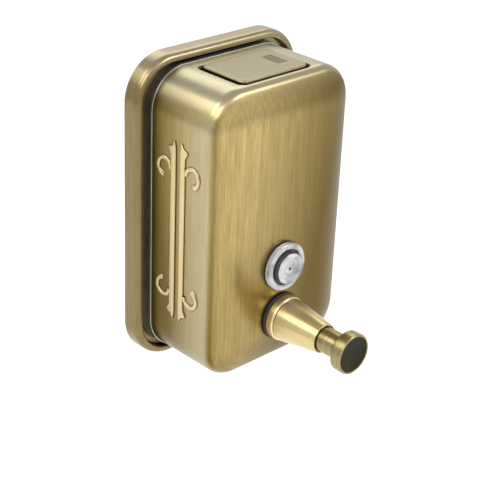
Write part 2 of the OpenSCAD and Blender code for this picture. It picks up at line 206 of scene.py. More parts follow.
def lathe(name, profile, z, steps=96, closed=False, **options):
    """A profile of (radius, distance forwards from the shell's face) turned on a pump axis."""
    bm = bmesh.new()
    rings = []
    for i in range(steps):
        a = 2 * math.pi * i / steps
        rings.append([
            bm.verts.new((r * math.cos(a), -(BODY_D + w), z + r * math.sin(a)))
            for r, w in profile
        ])
    count = len(profile)
    for ring, after in zip(rings, rings[1:] + rings[:1]):
        for j in range(count if closed else count - 1):
            k = (j + 1) % count
            starts_on_axis, ends_on_axis = (profile[n][0] < ON_AXIS for n in (j, k))
            if starts_on_axis and ends_on_axis:
                continue
            corners = [ring[j], ring[k]]
            if not ends_on_axis:
                corners.append(after[k])
            if not starts_on_axis:
                corners.append(after[j])
            bm.faces.new(corners)
    return from_bmesh(name, bm, **options)


def mm(points):
    return [(a * MM, b * MM) for a, b in points]


def solidify(obj, thickness):
    """Thickens a sheet on its inner side."""
    mod = obj.modifiers.new("sheet", "SOLIDIFY")
    mod.thickness = thickness
    mod.offset = -1
    mod.use_even_offset = True


def cut(obj, cutter):
    mod = obj.modifiers.new("cut", "BOOLEAN")
    mod.operation = "DIFFERENCE"
    mod.solver = "EXACT"
    mod.object = cutter


def apply_modifiers(obj):
    """Writes the modifiers into the mesh and keeps smooth shading with sharp edges."""
    dg = bpy.context.evaluated_depsgraph_get()
    mesh = bpy.data.meshes.new_from_object(obj.evaluated_get(dg), depsgraph=dg)
    obj.modifiers.clear()
    obj.data = mesh
    mesh.shade_smooth()
    mesh.set_sharp_from_angle(angle=math.radians(SMOOTH_ANGLE))


def discard(*objs):
    for obj in objs:
        bpy.data.objects.remove(obj, do_unlink=True)


def plate_cutter(name, half, radius, low, high, place, centre):
    """Solid rounded plate used to cut an opening."""
    bm = bmesh.new()
    rings = []
    for h in (low, high):
        rings.append([
            bm.verts.new(place(centre[0] + c[0] + d[0] * radius, centre[1] + c[1] + d[1] * radius, h))
            for c, d in stations(half[0] - radius, half[1] - radius, 8)
        ])
    skin(bm, rings, closed=True)
    bm.faces.new(rings[0])
    bm.faces.new(rings[1])
    return from_bmesh(name, bm)


# ---- materials --------------------------------------------------------------

class Nodes:
    """Short way to add and join shader nodes in one material."""

    def __init__(self, name):
        self.material = bpy.data.materials.new(name)
        self.material.use_nodes = True
        self.tree = self.material.node_tree
        self.shader = self.tree.nodes["Principled BSDF"]
        self.place = self.add("TexCoord").outputs["Object"]

    def add(self, kind, values=None, links=None, **settings):
        node = self.tree.nodes.new("ShaderNode" + kind)
        for key, value in settings.items():
            setattr(node, key, value)
        for key, value in (values or {}).items():
            node.inputs[key].default_value = value
        for key, source in (links or {}).items():
            self.tree.links.new(source, node.inputs[key])
        return node

    def feed(self, socket, source):
        self.tree.links.new(source, self.shader.inputs[socket])

    def set(self, **values):
        for key, value in values.items():
            self.shader.inputs[key.replace("_", " ")].default_value = value

    def stretched(self, source, scale):
        return self.add("Mapping", {"Scale": scale}, {"Vector": source}).outputs[0]

    def noise(self, vector, scale, detail=3.0, roughness=0.55):
        return self.add("TexNoise", {"Scale": scale, "Detail": detail, "Roughness": roughness},
                        {"Vector": vector}).outputs["Fac"]

    def ramp(self, value, low, high, to_low=0.0, to_high=1.0):
        return self.add("MapRange", {"From Min": low, "From Max": high, "To Min": to_low,
                                     "To Max": to_high}, {"Value": value}).outputs[0]

    def parts(self, vector):
        """X, Y and Z of a vector."""
        return self.add("SeparateXYZ", links={0: vector}).outputs

    def facing(self):
        """X, Y and Z of the surface's normal."""
        return self.parts(self.add("TexCoord").outputs["Normal"])

    def mix(self, factor, a, b):
        """Colour b over colour a; either may be a plain colour of three values."""
        node = self.add("Mix", data_type="RGBA")
        for socket, value in (("Factor", factor), ("A", a), ("B", b)):
            inputs = [s for s in node.inputs if s.name == socket and s.enabled]
            if isinstance(value, tuple):
                inputs[0].default_value = value + (1,)
            else:
                self.tree.links.new(value, inputs[0])
        return [s for s in node.outputs if s.enabled][0]

    def math(self, operation, a, b):
        node = self.add("Math", operation=operation)
        for index, value in enumerate((a, b)):
            if isinstance(value, float):
                node.inputs[index].default_value = value
            else:
                self.tree.links.new(value, node.inputs[index])
        return node.outputs[0]

    def size_of(self, value):
        return self.math("ABSOLUTE", value, 0.0)

    def bump(self, height, strength, distance):
        bumped = self.add("Bump", {"Strength": strength, "Distance": distance}, {"Height": height})
        self.feed("Normal", bumped.outputs[0])


def brushed(nodes, fine_scale, coarse_scale, fine_size, coarse_size):
    """Height of brush lines: fine lines with broader bands between them."""
    lines = nodes.noise(nodes.stretched(nodes.place, fine_scale), fine_size, 4.0, 0.7)
    bands = nodes.noise(nodes.stretched(nodes.place, coarse_scale), coarse_size, 3.0, 0.6)
    return nodes.math("ADD", nodes.math("MULTIPLY", lines, 0.6), nodes.math("MULTIPLY", bands, 0.4))


def across_grain(nodes):
    """Lines that run along X."""
    return brushed(nodes, (1, 40, 40), (1, 22, 22), 75.0, 28.0)


def upright_grain(nodes):
    """Lines run up and down on the sides, and across on faces that look up or down."""
    flat = nodes.ramp(nodes.size_of(nodes.facing()[2]), 0.6, 0.8)
    upright = brushed(nodes, (40, 40, 1), (22, 22, 1), 75.0, 28.0)
    across = across_grain(nodes)
    blend = nodes.math("MULTIPLY", nodes.math("SUBTRACT", across, upright), flat)
    return nodes.math("ADD", upright, blend)


def turned_grain(nodes):
    """Lines round the pump's axis: fine in Y, long round it."""
    return brushed(nodes, (1.2, 60, 1.2), (0.6, 30, 0.6), 60.0, 30.0)


PATINA = (0.040, 0.031, 0.012)    # what fills the hollows
PAINTED_SHEEN_BRASS = (0.37, 0.335, 0.22)  # colour of the painted sheen, the palest the sheet gets
PAINTED_SHADE_SHARE = (0.26, 0.23, 0.08)        # share of each colour left where the painted shade is darkest
HOLLOW_REACH = 2.6 * MM           # how far the patina spreads out of a hollow
FOOT_REACH = 1.0 * MM             # and along the foot of a raised shape
WEAR_RADIUS = 0.35 * MM           # how wide an edge is rubbed
PATINA_COVER = 0.75


def hollows(nodes, fine):
    """Where patina gathers: wide in hollows, and a thin line along the foot of what is raised."""
    reached = [nodes.add("AmbientOcclusion", {"Distance": reach * fine}, samples=8).outputs["AO"]
               for reach in (HOLLOW_REACH, FOOT_REACH)]
    return nodes.math("MAXIMUM", nodes.ramp(reached[0], 0.3, 0.8, 1.0, 0.0),
                      nodes.ramp(reached[1], 0.62, 0.97, 1.0, 0.0))


def rubbed_edges(nodes):
    """Where a rounded normal turns away from the true one."""
    edge = nodes.add("Bevel", {"Radius": WEAR_RADIUS}, samples=6).outputs[0]
    normal = nodes.add("NewGeometry").outputs["Normal"]
    agree = nodes.add("VectorMath", operation="DOT_PRODUCT", links={0: edge, 1: normal})
    return nodes.ramp(agree.outputs["Value"], 0.86, 0.99, 0.6, 0.0)


def brass_material(name, grain, base, roughness=0.3, bump=0.2, contrast=0.14, coat=0.15,
                   painted_shade=None, painted_sheen=None, raised=None, radial=False, fine=1.0):
    """Antique brass: brushed, darkened in hollows, rubbed bright on its edges.

    The masks darken it with painted shade, make it paler with a painted sheen, and rub it bright, which is
    wear on the ornament and a painted highlight on the pan's rim and the collar; radial is for turned
    pieces, whose lines run round the pump, and fine makes the patina's reach smaller.
    """
    nodes = Nodes(name)
    height = grain(nodes)
    cloud = nodes.noise(nodes.place, 22.0, 4.0, 0.6)
    dark = hollows(nodes, fine)
    light = tuple(min(1.0, c * (1 + contrast)) for c in base)
    deep = tuple(c * (1 - 1.4 * contrast) for c in base)
    shade = nodes.mix(nodes.ramp(height, 0.38, 0.62), deep, light)
    shade = nodes.mix(nodes.ramp(cloud, 0.35, 0.8, 0.0, 0.22), shade, deep)
    # painted shade, mixed towards a darker brass
    if painted_shade:
        shade = nodes.mix(painted_shade(nodes), shade, tuple(c * t for c, t in zip(base, PAINTED_SHADE_SHARE)))
    # painted sheen, mixed towards a pale brass
    if painted_sheen:
        shade = nodes.mix(painted_sheen(nodes), shade, PAINTED_SHEEN_BRASS)
    # rubbed-bright edges are wear; the extra mask is wear on the ornament and a painted highlight on the
    # pan's rim and the collar
    wear_and_highlight = rubbed_edges(nodes)
    if raised:
        wear_and_highlight = nodes.math("MAXIMUM", wear_and_highlight, raised(nodes))
    shade = nodes.mix(wear_and_highlight, shade, tuple(min(1.0, 1.25 * c + 0.13) for c in base))
    nodes.feed("Base Color", nodes.mix(nodes.math("MULTIPLY", dark, PATINA_COVER), shade, PATINA))
    nodes.feed("Roughness", nodes.ramp(height, 0.3, 0.7, roughness + 0.06, roughness - 0.05))
    nodes.bump(height, bump, 0.05 * MM)
    nodes.set(Metallic=1.0, Anisotropic=0.55, Coat_Weight=coat, Coat_Roughness=0.3)
    if radial:
        nodes.set(Anisotropic_Rotation=0.25)
        tangent = nodes.add("Tangent", direction_type="RADIAL", axis="Y")
    else:
        tangent = nodes.add("Tangent", direction_type="UV_MAP")
    nodes.feed("Tangent", tangent.outputs[0])
    return nodes.material


def shell_painted_shade(nodes):
    """Painted shade: darker brass at the right, the rear and the bottom, and a painted dark reflection
    along the upright corners.

    The amounts are matched. They stand for patina and for shade together, and stay
    fixed to the object, so the right side is darker than the left from every side.
    """
    x, y, z = nodes.parts(nodes.place)
    right = nodes.ramp(x, -0.026, 0.040, 0.0, 1.0)
    rear = nodes.ramp(y, -0.052, -0.018, 0.0, 0.8)
    lower = nodes.ramp(z, 0.060, -0.050, 0.0, 0.36)
    foot = nodes.ramp(z, -0.058, -0.077, 0.0, 0.4)
    facing = nodes.facing()
    turn = nodes.math("MULTIPLY", nodes.math("MULTIPLY", facing[0], facing[1]), 2.0)
    corner = nodes.ramp(turn, 0.72, 0.95, 0.0, 0.5)
    most = nodes.math("MAXIMUM", nodes.math("MAXIMUM", right, rear), corner)
    return nodes.math("ADD", nodes.math("ADD", most, lower), foot)


def shell_painted_sheen(nodes):
    """Painted sheen: paler brass on the top, and a little on the front part of the sides, matched."""
    facing = nodes.facing()
    top = nodes.ramp(facing[2], 0.3, 0.85, 0.0, 0.9)
    sideways = nodes.ramp(nodes.size_of(facing[0]), 0.7, 0.95, 0.0, 0.6)
    forwards = nodes.ramp(nodes.parts(nodes.place)[1], -0.050, -0.026, 1.0, 0.0)
    return nodes.math("MAXIMUM", top, nodes.math("MULTIPLY", sideways, forwards))


def collar_painted_highlight(nodes):
    """Painted highlight: paler brass on the collar, which would otherwise only mirror the tank's front."""
    return nodes.ramp(nodes.parts(nodes.place)[1], -BODY_D - 8 * MM, -BODY_D - 5 * MM, 0.1, 1.0)


def pan_painted_highlight(nodes):
    """Painted highlight: paler brass on the pan's upper rim, matched."""
    return nodes.ramp(nodes.parts(nodes.place)[2], 0.070, 0.079, 0.0, 0.5)


def side_relief(nodes):
    """The raised ornament on both sides is rubbed bright."""
    out = nodes.size_of(nodes.parts(nodes.place)[0])
    return nodes.ramp(out, BODY_X + 0.25 * EMBOSS, BODY_X + 0.7 * EMBOSS, 0.0, 0.62)


def plain_material(name, color, roughness, metallic=0.0, bump=0.05):
    """Moulded, rubber and plain steel surfaces with a little unevenness."""
    nodes = Nodes(name)
    speck = nodes.noise(nodes.place, 900.0, 3.0, 0.6)
    cloud = nodes.noise(nodes.place, 60.0, 3.0, 0.5)
    dark, bright = (tuple(c * much for c in color) for much in (0.88, 1.12))
    nodes.feed("Base Color", nodes.mix(nodes.ramp(cloud, 0.3, 0.7), dark, bright))
    nodes.feed("Roughness", nodes.ramp(speck, 0.3, 0.7, roughness - 0.05, roughness + 0.06))
    nodes.bump(speck, bump, 0.05 * MM)
    nodes.set(Metallic=metallic)
    return nodes.material


def clear_material(name, color, transmission, roughness):
    """Clear moulded acrylic, uneven where it flowed in the mould, and a little hazy from wiping."""
    nodes = Nodes(name)
    haze = nodes.noise(nodes.place, 320.0, 4.0, 0.6)
    flow = nodes.noise(nodes.place, 95.0, 2.0, 0.5)
    dim = tuple(c * 0.42 for c in color)
    nodes.feed("Base Color", nodes.mix(nodes.ramp(flow, 0.38, 0.62), dim, color))
    nodes.feed("Roughness", nodes.ramp(haze, 0.35, 0.7, roughness, roughness + 0.18))
    nodes.bump(flow, 0.6, 0.25 * MM)
    nodes.set(Transmission_Weight=transmission, IOR=1.49)
    return nodes.material


def dress(obj, material):
    obj.data.materials.clear()
    obj.data.materials.append(material)


def dress_cad(node, material):
    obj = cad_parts[node]
    for slot in obj.material_slots:
        slot.material = material


def upright_uv(obj):
    """UVs whose U runs across the brush lines, so that highlights spread that way."""
    mesh = obj.data
    layer = mesh.uv_layers.new(name="UVMap") if not mesh.uv_layers else mesh.uv_layers[0]
    for poly in mesh.polygons:
        n = poly.normal
        across_x = abs(n.y) > max(0.3, abs(n.x))
        for index in poly.loop_indices:
            p = mesh.vertices[mesh.loops[index].vertex_index].co
            if across_x:
                layer.data[index].uv = (p.x * 10, p.z * 10)
            elif abs(n.z) > 0.7:
                layer.data[index].uv = (p.y * 10, p.x * 10)
            else:
                layer.data[index].uv = (p.y * 10, p.z * 10)


# the sheet gets painted shade, a painted sheen, and rubbed wear on its ornament
SHEET_BRASS = brass_material("antique_brass", upright_grain, (0.46, 0.345, 0.138), contrast=0.2,
                             coat=0.12, painted_shade=shell_painted_shade, painted_sheen=shell_painted_sheen, raised=side_relief)
# the pan gets a painted highlight on its upper rim
PAN_BRASS = brass_material("pan_brass", upright_grain, (0.21, 0.160, 0.068), raised=pan_painted_highlight)
LID_BRASS = brass_material("lid_brass", across_grain, (0.27, 0.225, 0.125), contrast=0.05, fine=0.3)
# the collar gets a painted highlight
TURNED_BRASS = brass_material("turned_brass", turned_grain, (0.55, 0.44, 0.20), roughness=0.32,
                              bump=0.1, contrast=0.08, coat=0.35, raised=collar_painted_highlight, radial=True)
BUTTON_BRASS = brass_material("button_brass", turned_grain, (0.29, 0.24, 0.105), roughness=0.34,
                              bump=0.35, contrast=0.32, radial=True)
# near-black brass for the button's pressed face
FACE_BRASS = brass_material("button_face_dark", turned_grain, (0.020, 0.018, 0.007),
                            roughness=0.42, contrast=0.1, coat=0.0, radial=True)
BAND = plain_material("band_steel", (0.50, 0.49, 0.46), 0.34, 1.0)
ZINC = plain_material("zinc_plate", (0.55, 0.56, 0.57), 0.36, 1.0)
STEEL = plain_material("stainless", (0.62, 0.62, 0.61), 0.26, 1.0)
BLACK = plain_material("black_plastic", (0.012, 0.012, 0.013), 0.28)
RUBBER = plain_material("black_rubber", (0.016, 0.016, 0.017), 0.62, bump=0.15)
WHITE = plain_material("white_plastic", (0.78, 0.78, 0.75), 0.42)
SILICONE = plain_material("silicone", (0.72, 0.73, 0.72), 0.4)
CLEAR = clear_material("clear_acrylic", (0.86, 0.87, 0.88), 0.35, 0.05)
# dark acrylic used as painted shade in the lens's recess and in the middle of its dish
PAINTED_SHADE_ACRYLIC = clear_material("painted_shade_acrylic", (0.09, 0.09, 0.085), 0.3, 0.12)


# ---- pan and tank -----------------------------------------------------------

def finish_piece(obj, material, body, *nodes, slot=None):
    """Material, body and the CAD nodes that a piece stands for."""
    dress(obj, material)
    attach(obj, body)
    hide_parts(*nodes)
    return obj


def back_pan():
    """Pressed pan: a floor, a groove wall and a rolled rim, one sheet thick."""
    lip = RIM_W * 0.2
    outer = RIM_W - lip
    inside = PAN_R - RIM_W
    corner = 0.9 * MM
    ridge = PAN_R - outer
    profile = [(PAN_R, 0.0), (PAN_R, PAN_DEPTH - outer)]
    profile += arc((ridge, PAN_DEPTH - outer), outer, 0, 90, 10)[1:]
    profile += arc((ridge, PAN_DEPTH - lip), lip, 90, 180, 6)[1:]
    profile += arc((inside - corner, FLOOR_DEPTH + corner), corner, 0, -90, 4)
    profile += [(2 * MM, FLOOR_DEPTH)]
    pan = swept("pan", (PAN_X - PAN_R, PAN_Z - PAN_R), profile, on_wall, cap=True)
    solidify(pan, SHEET)
    apply_modifiers(pan)
    upright_uv(pan)
    return finish_piece(pan, PAN_BRASS, "tank", "back_pan", slot="antique_brass")


def relief(bm, outline, height, soft, place):
    """A pillow-shaped raised shape: outline points in the plan, rising to height."""
    rings = []
    count = len(outline)
    for inset, rise in ((0, -SUNK), (0, 0.4), (0.4, 0.85), (1, 1)):
        ring = []
        for k in range(count):
            before, here, after = (Vector(outline[(k + d) % count]) for d in (-1, 0, 1))
            a, b = (here - before).normalized(), (after - here).normalized()
            normal = Vector((-a.y - b.y, a.x + b.x))
            turn = max(0.45, normal.length / 2)
            moved = here + normal.normalized() * (soft * inset / turn)
            ring.append(bm.verts.new(place(moved.x, moved.y, height * rise)))
        rings.append(ring)
    skin(bm, rings, closed=True)
    top = bm.faces.new(rings[-1])
    top.normal_update()
    bmesh.ops.triangulate(bm, faces=[top], ngon_method="EAR_CLIP")


def scroll(bm, centre, flip, place):
    """A ring of half-round section, open below, with a round bead at its free end."""
    steps, sides, swing = 30, 8, 250

    def risen(share):
        return EMBOSS / MM * ((1 + SUNK) * share - SUNK)

    rings = []
    for i in range(steps + 1):
        a = math.radians(SCROLL_START + swing * i / steps)
        width = STROKE * (1 + 0.55 * max(0.0, 1 - i / 4))
        ring = []
        for k in range(sides + 1):
            b = math.pi * k / sides
            r = SCROLL_R + width / 2 * math.cos(b)
            ring.append(bm.verts.new(place(centre[0] + r * math.cos(a), centre[1] + flip * r * math.sin(a),
                                           risen(math.sin(b) ** 0.6))))
        rings.append(ring)
    skin(bm, rings, closed=False)
    a = math.radians(SCROLL_START)
    end = (centre[0] + SCROLL_R * math.cos(a), centre[1] + flip * SCROLL_R * math.sin(a))
    rows = []
    for i in range(6):
        lift = math.radians(90 * i / 5)
        r = (STROKE + 1) / 2 * math.cos(lift)
        rows.append([
            bm.verts.new(place(end[0] + r * math.cos(t), end[1] + r * math.sin(t), risen(math.sin(lift))))
            for t in (2 * math.pi * k / 14 for k in range(14))
        ])
    skin(bm, rows, closed=True)


# The ornament's own sizes, in millimetres
BAR_OFF, BAR_HALF, BAR_LONG, TIP = 3.3, 1.8, 44.0, 4.0
SCROLL_R, SCROLL_OFF, SCROLL_Z = 4.5, 10.0, 32.5
SCROLL_START = -70          # where a scroll's free end is, in degrees
STROKE = 2.4                # width of a scroll at the sheet, 0.4 more than the CAD's
ORNAMENT_Y = -31.3
SUNK = 0.3                  # share of its height that a raised shape reaches into the sheet


def ornament(side):
    """Two pointed bars with four scrolls, pressed out of one side of the tank."""
    bm = bmesh.new()
    w, h = BAR_HALF, BAR_LONG
    half = [(w, h - TIP), (w + 0.4, h - 3), (w + 1.3, h - 1.2), (w + 2, h), (w + 1.2, h + 0.6),
            (w * 0.3, h + 1.5), (w * 0.1, h + 2.6), (-w * 0.5, h + TIP), (-w * 0.85, h + 2), (-w, h)]
    outline = [(BAR_OFF + x, z) for x, z in half]
    outline += [(x, -z) for x, z in reversed(outline)]
    for front in (-1, 1):

        def place(x, z, rise, front=front):
            return Vector((side * (BODY_X + rise * MM), (ORNAMENT_Y - front * x) * MM, z * MM))

        relief(bm, outline, EMBOSS / MM, 0.5, place)
        for low in (-1, 1):
            scroll(bm, (SCROLL_OFF, low * SCROLL_Z), low, place)
    return from_bmesh("ornament", bm, smooth_angle=50)


def join(target, *others):
    """Adds the other meshes to the target's mesh."""
    bm = bmesh.new()
    for obj in (target,) + others:
        bm.from_mesh(obj.data)
    bm.to_mesh(target.data)
    bm.free()
    discard(*others)


def mouth_place():
    """Middle and half sizes of the filling opening, which the lid's frame grips with its tabs."""
    low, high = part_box("lid_frame")
    centre = ((high.x + low.x) / 2, (low.y + high.y) / 2)
    return centre, ((high.x - low.x) / 2 - FRAME_LUG, (high.y - low.y) / 2)


def hole_cutter(name, radius, z):
    """Round cutter through the front, radius in millimetres."""
    return lathe(name, mm([(0, -3), (radius, -3), (radius, 3), (0, 3)]), z, steps=64)


def front_shell():
    """Drawn tank: straight walls and a front that falls away to a rounded edge all round."""
    edge_d = BODY_D - EDGE_DROP - EDGE_R
    rear_strip, mouth_r, through = 12 * MM, 4 * MM, 3 * MM
    profile = [(BODY_R, FLOOR_DEPTH), (BODY_R, FLOOR_DEPTH + rear_strip), (BODY_R, edge_d)]
    turn = 90 - math.degrees(BORDER_TURN)
    profile += arc((BORDER, edge_d), EDGE_R, 0, turn, 14)[1:]
    profile += arc((0, BODY_D - BORDER_R), BORDER_R, turn, 90, 14)[1:-1]
    profile += [(0.05 * MM, BODY_D)]
    shell = swept("tank_shell", (BODY_X - BODY_R, BODY_Z - BODY_R), profile, on_wall, cap=True)
    solidify(shell, SHEET)
    centre, half = mouth_place()
    mouth = plate_cutter("mouth", half, mouth_r, BODY_Z - through, BODY_Z + through, on_top, centre)
    window = hole_cutter("window_cut", WINDOW_HOLE, WINDOW_Z)
    pump = hole_cutter("pump_cut", PUMP_HOLE, PUMP_Z)
    for cutter in (mouth, window, pump):
        cut(shell, cutter)
    apply_modifiers(shell)
    discard(mouth, window, pump)
    join(shell, ornament(-1), ornament(1))
    upright_uv(shell)
    return finish_piece(shell, SHEET_BRASS, "tank", "front_shell", slot="antique_brass")


def seam_band():
    """Thin bright band along the joint between tank and pan."""
    low, high = FLOOR_DEPTH, -span("seam_band", "Y")[0]
    inside, outside = BODY_R + 0.02 * MM, BODY_R + BAND_T
    profile = soften([(inside, low), (outside, low), (outside, high), (inside, high)], 0.25 * MM)
    band = swept("seam_band_ring", (BODY_X - BODY_R, BODY_Z - BODY_R), profile, on_wall, closed=True)
    return finish_piece(band, BAND, "tank", "seam_band", slot="bare_steel")


# ---- filling lid ------------------------------------------------------------

GROOVES, GROOVE_PITCH, GROOVE_END = 4, 1.7 * MM, 11.5 * MM
GROOVE_HALF = (0.4 * MM, 6.25 * MM)


def lid_cover():
    """Lid plate with a rolled edge, a short skirt and four pressed finger grooves."""
    low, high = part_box("lid_cover")
    centre = ((low.x + high.x) / 2, (low.y + high.y) / 2)
    radius, edge = 3.5 * MM, 0.9 * MM
    half = ((high.x - low.x) / 2 - radius, (high.y - low.y) / 2 - radius)
    profile = [(radius, low.z), (radius, high.z - edge)]
    profile += arc((radius - edge, high.z - edge), edge, 0, 90, 6)[1:]
    profile += [(0.8 * MM, high.z)]
    lid = swept("lid_plate", half, profile, on_top, centre=centre, steps=12, cap=True)
    solidify(lid, LID_SHEET)
    cutters = []
    for i in range(GROOVES):
        place = (high.x - GROOVE_END + GROOVE_PITCH * i, centre[1])
        cutters.append(plate_cutter("groove", GROOVE_HALF, 0.38 * MM, high.z - 0.4 * MM,
                                    high.z + 1 * MM, on_top, place))
        cut(lid, cutters[-1])
    apply_modifiers(lid)
    discard(*cutters)
    upright_uv(lid)
    return finish_piece(lid, LID_BRASS, "lid", "lid_cover", slot="antique_brass")


# ---- turned pieces on the front ---------------------------------------------

def turned(name, points, z, soft, steps=128):
    """A closed profile in millimetres turned on a pump axis, every corner softened."""
    start = tuple((a + b) / 2 for a, b in zip(points[-1], points[0]))
    profile = soften([start] + points + [start], soft, 3)[:-1]
    return lathe(name, mm(profile), z, steps=steps, closed=True)


def plain_ring(node, inner, z, soft, material, slot):
    """A flat ring in place of a CAD ring, with softened corners."""
    outer = radius_of(node)
    a, b = reach(node)
    ring = turned(node + "_ring", [(inner, a), (outer, a), (outer, b), (inner, b)], z, soft)
    return finish_piece(ring, material, "tank", node, slot=slot)


def shade_where(obj, axis_z, material, test):
    """Gives a second material to the faces whose radius, place forwards and normal pass the test."""
    obj.data.materials.append(material)
    for poly in obj.data.polygons:
        away = math.hypot(poly.center.x, poly.center.z - axis_z) / MM
        if test(away, (-poly.center.y - BODY_D) / MM, poly.normal):
            poly.material_index = 1


def hold_corners(points):
    """Adds points close to each end of every side, so that smooth shading keeps to the corners."""
    out = []
    for a, b in zip(points, points[1:] + points[:1]):
        out += [a] + [(a[0] + (b[0] - a[0]) * t, a[1] + (b[1] - a[1]) * t) for t in (0.12, 0.88)]
    return out


def sight_window():
    """Clear lens: a flat outer ring, a recess and a raised boss with a dished face; the recess and the
    middle of the dish get painted shade.
    """
    outer = radius_of("window_lens")
    back, front = reach("window_lens")
    bore, neck, boss, ring = 6.3, 8.7, 8.2, outer - 3
    base, web, rim = 0.8, 2.0, 3.6
    profile = [(bore, back), (neck, back), (neck, base), (outer, base), (outer, rim - 0.5),
               (outer - 0.6, rim), (ring + 0.5, rim), (ring, rim - 0.5), (ring, web),
               (boss + 0.3, web), (boss, front - 0.6), (boss - 0.6, front), (6.4, front),
               (5.6, front - 0.9), (3.6, front - 1.1), (2.8, front - 0.5), (0.9, front - 0.8),
               (0.0, front - 1.4), (0.0, base), (bore, base)]
    lens = lathe("sight_lens", mm(hold_corners(profile)), WINDOW_Z, steps=128, closed=True,
                 smooth_angle=40)
    lens = finish_piece(lens, CLEAR, "tank", "window_lens", slot="clear_plastic")

    # the faces that get painted shade: the recess and a dot in the middle of the dish
    def shaded(away, forwards, _normal):
        recess = boss - 0.15 < away < ring + 0.02 and base + 0.3 < forwards < front - 0.7
        return recess or (away < 0.9 and forwards > base + 1)

    shade_where(lens, WINDOW_Z, PAINTED_SHADE_ACRYLIC, shaded)
    return lens


# Radii in the pump, in millimetres
COLLAR_BORE, SLEEVE_TIP, SLEEVE_LIP, SLEEVE_BORE, STEM_BORE = 8.4, 7.9, 7.0, 7.2, 4.1
NECK_END = 13.0                 # how far the threaded neck reaches into the sleeve


def pump_pieces():
    """Gasket, collar, sleeve and stem, turned on the pump's axis."""
    plain_ring("pump_gasket", PUMP_HOLE, PUMP_Z, 0.5, RUBBER, "black_rubber")
    outer, (a, b) = radius_of("pump_collar"), reach("pump_collar")
    collar = turned("collar", [(COLLAR_BORE, a), (outer - 0.5, a), (outer, a + 0.6), (outer, b - 0.9),
                               (outer - 0.7, b), (COLLAR_BORE, b)], PUMP_Z, 0.25)
    finish_piece(collar, TURNED_BRASS, "tank", "pump_collar", slot="turned_brass")
    outer, (a, b) = radius_of("pump_sleeve"), reach("pump_sleeve")
    sleeve = turned("sleeve", [(outer - 0.5, a), (outer - 0.5, a + 0.4), (outer, a + 0.45),
                               (outer - 0.15, a + 1.2), (SLEEVE_TIP, b - 0.4), (SLEEVE_TIP - 0.2, b),
                               (SLEEVE_LIP, b), (SLEEVE_LIP, b - 1.5), (SLEEVE_BORE, b - 1.5),
                               (SLEEVE_BORE, NECK_END), (COLLAR_BORE, NECK_END), (COLLAR_BORE, a)],
                    PUMP_Z, 0.15)
    finish_piece(sleeve, TURNED_BRASS, "tank", "pump_sleeve", slot="turned_brass")
    outer, (a, b) = radius_of("stem_tube"), reach("stem_tube")
    stem = turned("stem", [(STEM_BORE, a), (outer, a), (outer, b), (STEM_BORE, b)], PUMP_Z, 0.25)
    finish_piece(stem, BUTTON_BRASS, "plunger", "stem_tube", slot="turned_brass")


def push_button():
    """Round button: bright turned side and rim, dark pressed face, outlet hole below."""
    outer, (a, b) = radius_of("push_button"), reach("push_button")
    socket, nozzle_at, nozzle_top, face = 4.0, a + 3.4, 4.2, b - 0.3
    points = [(0.0, a + 2.0), (socket, a + 2.0), (socket, a), (outer - 0.6, a), (outer, a + 0.6),
              (outer, b - 0.7), (outer - 0.5, b), (outer - 0.9, b), (outer - 1.2, face), (0.0, face)]
    profile = [points[0]] + soften(points, 0.2, 3)[1:-1] + [points[-1]]
    button = lathe("button", mm(profile), PUMP_Z, steps=128)
    bm = bmesh.new()
    place = (0, -(BODY_D + nozzle_at * MM), PUMP_Z - (nozzle_top + outer / 2) * MM)
    bmesh.ops.create_cone(bm, cap_ends=True, segments=32, radius1=2 * MM, radius2=2 * MM,
                          depth=outer * MM, matrix=Matrix.Translation(place))
    drill = from_bmesh("drill", bm)
    cut(button, drill)
    apply_modifiers(button)
    discard(drill)
    button = finish_piece(button, BUTTON_BRASS, "plunger", "push_button", slot="turned_brass")

    def on_face(away, forwards, normal):
        return away < outer - 0.9 and forwards > face - 0.01 and abs(normal.y) > 0.9

    shade_where(button, PUMP_Z, FACE_BRASS, on_face)
    return button


def outlet_nozzle():
    """Short tube pressed into the button's underside."""
    low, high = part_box("outlet_nozzle")
    centre_y = (low.y + high.y) / 2
    outer, inner = (high.x - low.x) / 2, 1.3 * MM
    profile = soften([(inner, high.z), (outer, high.z), (outer, low.z), (inner, low.z),
                      (inner, high.z)], 0.15 * MM, 2)[:-1]
    bm = bmesh.new()
    rings = []
    for t in (2 * math.pi * i / 48 for i in range(48)):
        rings.append([bm.verts.new((r * math.cos(t), centre_y + r * math.sin(t), z))
                      for r, z in profile])
    skin(bm, rings, closed=True, looped=True)
    nozzle = from_bmesh("nozzle", bm)
    return finish_piece(nozzle, STEEL, "plunger", "outlet_nozzle", slot="bare_steel")


def return_spring():
    """Round-wire helix in one fixed shape, for the spring that closes up as the button is pressed."""
    low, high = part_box("return_spring")
    wire, gap = 0.48 * MM, 0.02 * MM
    turns, per_turn, sides = 7, 28, 10
    radius = (high.x - low.x) / 2 - wire - 0.05 * MM
    start, end = -high.y + wire + gap, -low.y - wire - gap
    bm = bmesh.new()
    rings = []
    for i in range(turns * per_turn + 1):
        t = 2 * math.pi * i / per_turn
        along = start + (end - start) * i / (turns * per_turn)
        ring = []
        for k in range(sides):
            b = 2 * math.pi * k / sides
            r = radius + wire * math.cos(b)
            ring.append(bm.verts.new((r * math.cos(t), -along - wire * math.sin(b),
                                      PUMP_Z + r * math.sin(t))))
        rings.append(ring)
    skin(bm, rings, closed=True)
    bm.faces.new(rings[0])
    bm.faces.new(rings[-1])
    spring = finish_piece(from_bmesh("spring", bm, smooth_angle=60), STEEL, "tank", "return_spring",
                          slot="bare_steel")
    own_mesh(spring)
    return spring


